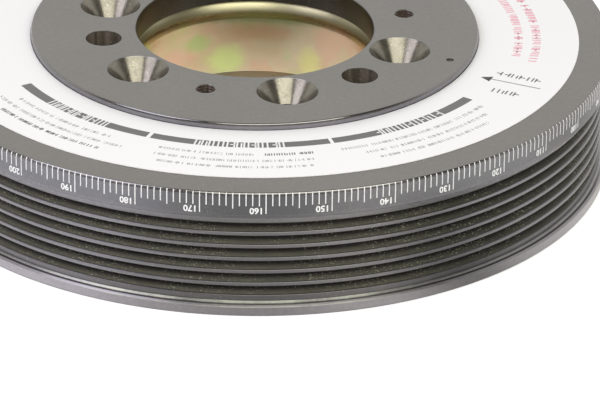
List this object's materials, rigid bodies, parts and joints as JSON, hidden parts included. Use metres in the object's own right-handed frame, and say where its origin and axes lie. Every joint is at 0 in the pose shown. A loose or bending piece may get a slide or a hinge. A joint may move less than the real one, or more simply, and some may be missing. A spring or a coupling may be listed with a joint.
{
  "type": "harmonic balancer",
  "caption": "Round crankshaft damper with an engraved timing band, a ribbed belt pulley rim, a raised centre with countersunk bolt holes and a wide pilot bore.",
  "frame": {"origin": "on the bore axis, at the rear face of the rim, which the damper stands on", "axes": "+Z along the crank axis from the rear face to the front face, +X and +Y across the bore, with -Y towards the numbered marks near 160"},
  "size_m": [0.19, 0.19, 0.0365],
  "materials": {
    "anodised_shell": "black anodised, satin, fine turned",
    "zinc_steel": "yellow zinc chromate, iridescent",
    "ring_steel": "turned steel, oiled",
    "elastomer": "matte nitrile",
    "decal_vinyl": "printed vinyl",
    "screw_steel": "black oxide"
  },
  "bodies": {
    "root": {"outer_shell": "anodised_shell", "inner_shell": "zinc_steel", "inertia_ring": "ring_steel", "front_outer_elastomer": "elastomer", "front_inner_elastomer": "elastomer", "rear_outer_elastomer": "elastomer", "rear_inner_elastomer": "elastomer", "rim_front_elastomer": "elastomer", "rim_rear_elastomer": "elastomer", "sleeve_front_elastomer": "elastomer", "sleeve_rear_elastomer": "elastomer", "shell_screws": "screw_steel", "face_decal": "decal_vinyl"}
  },
  "joints": []
}
